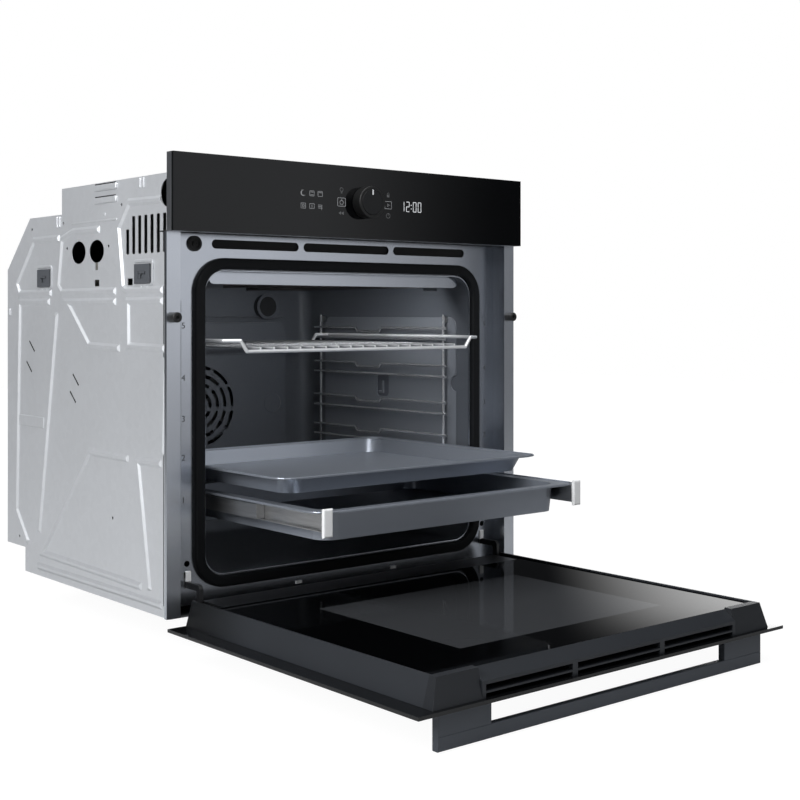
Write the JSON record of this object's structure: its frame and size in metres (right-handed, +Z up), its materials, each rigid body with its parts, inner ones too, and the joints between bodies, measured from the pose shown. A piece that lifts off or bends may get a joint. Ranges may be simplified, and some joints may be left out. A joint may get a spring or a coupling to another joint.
{
  "type": "wall oven",
  "caption": "Built-in wall oven with a drop-down glass door, a glass fascia with a turning knob, side racks, a wire shelf and trays on telescopic runners.",
  "frame": {"origin": "middle of the flat underside of the base", "axes": "+X to the right seen from the front, +Y to the rear, +Z up"},
  "size_m": [0.595, 1.0289, 0.64],
  "materials": {
    "galvanised_steel": "zinc-coated sheet",
    "grey_enamel": "semi-gloss enamel",
    "trim_paint": "satin",
    "cavity_enamel": "gloss enamel with fine flecks",
    "mineral_wool": "matte",
    "seal_rubber": "matte",
    "black_glass": "gloss, printed black behind",
    "fascia_metal": "satin",
    "control_plastic": "matte",
    "circuit_board": "solder mask",
    "display_plastic": "smoked",
    "knob_black": "satin black",
    "knob_face_grey": "fine satin",
    "shaft_steel": "turned",
    "bush_plastic": "matte",
    "clip_plastic": "matte",
    "motor_steel": "dull",
    "heater_steel": "heat-darkened",
    "lamp_glass": "moulded",
    "lamp_ceramic": "matte",
    "chromed_wire": "bright",
    "tray_enamel": "gloss enamel",
    "runner_steel": "drawn",
    "cap_silver": "silver satin",
    "door_glass": "gloss, dark printed border",
    "clear_glass": "gloss",
    "door_anthracite": "satin anthracite",
    "hinge_steel": "zinc plated"
  },
  "bodies": {
    "oven": {"base_panel": "galvanised_steel", "blower_housing": "control_plastic", "blower_motor": "motor_steel", "bottom_element": "heater_steel", "cavity_liner": "cavity_enamel", "control_board": "circuit_board", "control_box": "control_plastic", "display_module": "display_plastic", "door_gasket": "seal_rubber", "encoder": "control_plastic", "fan_cover": "cavity_enamel", "fan_motor": "motor_steel", "fascia_frame": "fascia_metal", "fascia_glass": "black_glass", "fixing_bushes": "bush_plastic", "frame_plug": "bush_plastic", "front_frame": "grey_enamel", "grill_element": "heater_steel", "hinge_arms": "hinge_steel", "hinge_receptacles": "hinge_steel", "insulation": "mineral_wool", "lamp_glass": "lamp_glass", "lamp_holder": "lamp_ceramic", "rack_studs": "shaft_steel", "rear_cover": "galvanised_steel", "ring_heater": "heater_steel", "runner_outers": "runner_steel", "side_clips": "clip_plastic", "side_panel_left": "galvanised_steel", "side_panel_right": "galvanised_steel", "side_rack_left": "chromed_wire", "side_rack_right": "chromed_wire", "side_trim_left": "trim_paint", "side_trim_right": "trim_paint", "terminal_box": "control_plastic", "top_cover": "galvanised_steel"},
    "door": {"door_outer_glass": "door_glass", "door_middle_glass": "clear_glass", "door_inner_glass": "door_glass", "door_side_profile_left": "door_anthracite", "door_side_profile_right": "door_anthracite", "door_bottom_profile": "door_anthracite", "door_top_trim": "door_anthracite", "door_corner_caps": "door_anthracite", "handle_bar": "door_anthracite", "handle_posts": "door_anthracite", "hinge_cassettes": "hinge_steel", "hinge_pins": "hinge_steel"},
    "knob": {"knob_ring": "knob_black", "encoder_shaft": "shaft_steel"},
    "knob_face": {"knob_button": "knob_face_grey"},
    "fan": {"convection_fan": "motor_steel"},
    "blower": {"blower_wheel": "motor_steel"},
    "runner_middle": {"runner_middles": "runner_steel"},
    "runner_slide": {"runner_slides": "runner_steel", "runner_caps": "cap_silver", "drip_tray": "tray_enamel"},
    "sheet": {"baking_sheet": "tray_enamel"},
    "shelf": {"wire_shelf": "chromed_wire", "shelf_wires": "chromed_wire"}
  },
  "joints": [
    {"name": "door_hinge", "type": "hinge", "parent": "oven", "child": "door", "pos_m": [0, -0.25375, 0.001], "axis": [-1, 0, 0], "range_deg": [0, 90]},
    {"name": "knob_turn", "type": "hinge", "parent": "oven", "child": "knob", "pos_m": [0, -0.26375, 0.543], "axis": [0, -1, 0], "continuous": true},
    {"name": "knob_press", "type": "slide", "parent": "knob", "child": "knob_face", "axis": [0, 1, 0], "range_m": [0, 0.0015], "stiffness_N_per_m": 600},
    {"name": "fan_spin", "type": "hinge", "parent": "oven", "child": "fan", "pos_m": [0, 0.20925, 0.238], "axis": [0, 1, 0], "continuous": true},
    {"name": "blower_spin", "type": "hinge", "parent": "oven", "child": "blower", "pos_m": [0, -0.05675, 0.4978], "axis": [1, 0, 0], "continuous": true},
    {"name": "runner_middle_slide", "type": "slide", "parent": "oven", "child": "runner_middle", "axis": [0, 1, 0], "range_m": [0, 0.142]},
    {"name": "runner_slide", "type": "slide", "parent": "runner_middle", "child": "runner_slide", "axis": [0, 1, 0], "range_m": [0, 0.142]},
    {"name": "baking_sheet_slide", "type": "slide", "parent": "oven", "child": "sheet", "axis": [0, 1, 0], "range_m": [0, 0.172]},
    {"name": "wire_shelf_slide", "type": "slide", "parent": "oven", "child": "shelf", "axis": [0, 1, 0], "range_m": [0, 0.045]}
  ],
  "couplings": [
    {"joint": "runner_middle_slide", "follows": "door_hinge", "m_per_rad": 0.0904},
    {"joint": "runner_slide", "follows": "door_hinge", "m_per_rad": 0.0904},
    {"joint": "baking_sheet_slide", "follows": "door_hinge", "m_per_rad": 0.1095},
    {"joint": "wire_shelf_slide", "follows": "door_hinge", "m_per_rad": 0.028647}
  ]
}
